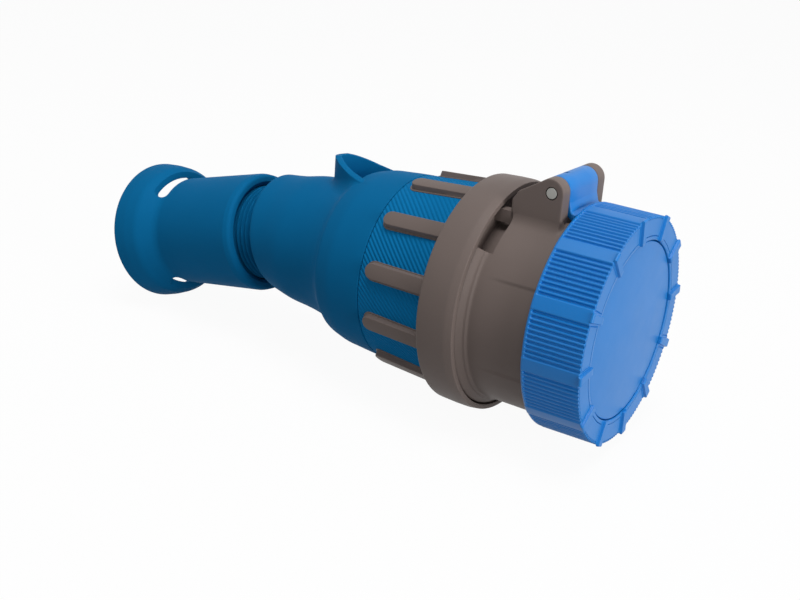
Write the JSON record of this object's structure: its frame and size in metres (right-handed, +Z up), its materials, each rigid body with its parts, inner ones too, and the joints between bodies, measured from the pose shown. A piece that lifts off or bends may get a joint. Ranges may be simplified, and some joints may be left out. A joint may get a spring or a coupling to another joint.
{
  "type": "pin and sleeve connector",
  "caption": "Cable-mounted power socket with hinged bayonet lid, ribbed union nut, hooded rear housing and bell-mouthed cable gland.",
  "frame": {"origin": "centre of the front housing's mouth rim, on the connector's front axis", "axes": "+X out of the mouth toward the plug, +Z up to the lid hinge, +Y completes the right hand"},
  "size_m": [0.2035, 0.0748, 0.0828],
  "materials": {
    "housing_taupe": "fine satin moulding",
    "carrier_black": "satin moulding",
    "contact_brass": "turned",
    "spring_steel": "bright drawn wire",
    "screw_steel": "zinc plated",
    "pin_steel": "dull",
    "seal_rubber": "matte",
    "grip_blue": "finely ribbed",
    "body_blue": "satin moulding",
    "washer_grey": "satin moulding",
    "lid_blue": "satin moulding"
  },
  "bodies": {
    "front": {"front_housing": "housing_taupe", "contact_carrier": "carrier_black", "carrier_back_plate": "carrier_black", "line_contact": "contact_brass", "neutral_contact": "contact_brass", "earth_contact": "contact_brass", "contact_springs": "spring_steel", "terminal_screws": "screw_steel", "carrier_screws": "screw_steel", "hinge_pin": "pin_steel", "body_seal": "seal_rubber", "lid_spring": "spring_steel"},
    "lid": {"lid": "lid_blue", "lid_gasket": "seal_rubber"},
    "ring": {"locking_ring": "lid_blue"},
    "union": {"union_nut": "housing_taupe", "union_grip": "grip_blue"},
    "rear": {"rear_housing": "body_blue", "cable_seal": "seal_rubber"},
    "washer": {"thrust_washer": "washer_grey"},
    "gland": {"gland_nut": "body_blue"}
  },
  "joints": [
    {"name": "lid_hinge", "type": "hinge", "parent": "front", "child": "lid", "pos_m": [-0.0181, 0, 0.0397], "axis": [0, -1, 0], "range_deg": [0, 110], "stiffness_Nm_per_rad": 0.02, "springref_deg": -45.84, "deforming": ["lid_spring"]},
    {"name": "ring_turn", "type": "hinge", "parent": "lid", "child": "ring", "pos_m": [0, 0, 0], "axis": [1, 0, 0], "range_deg": [0, 35]},
    {"name": "union_turn", "type": "hinge", "parent": "front", "child": "union", "pos_m": [0, 0, 0], "axis": [1, 0, 0], "range_deg": [0, 720]},
    {"name": "housing_travel", "type": "slide", "parent": "front", "child": "rear", "axis": [-1, 0, 0], "range_m": [0, 0.008]},
    {"name": "gland_travel", "type": "slide", "parent": "rear", "child": "washer", "axis": [-0.9781, 0, -0.2079], "range_m": [0, 0.004]},
    {"name": "gland_turn", "type": "hinge", "parent": "washer", "child": "gland", "pos_m": [-0.1245, 0, 0], "axis": [-0.9781, 0, -0.2079], "range_deg": [0, 720]}
  ],
  "couplings": [
    {"joint": "union_turn", "follows": "housing_travel", "rad_per_m": 1570.8},
    {"joint": "gland_turn", "follows": "gland_travel", "rad_per_m": 3141.6}
  ]
}
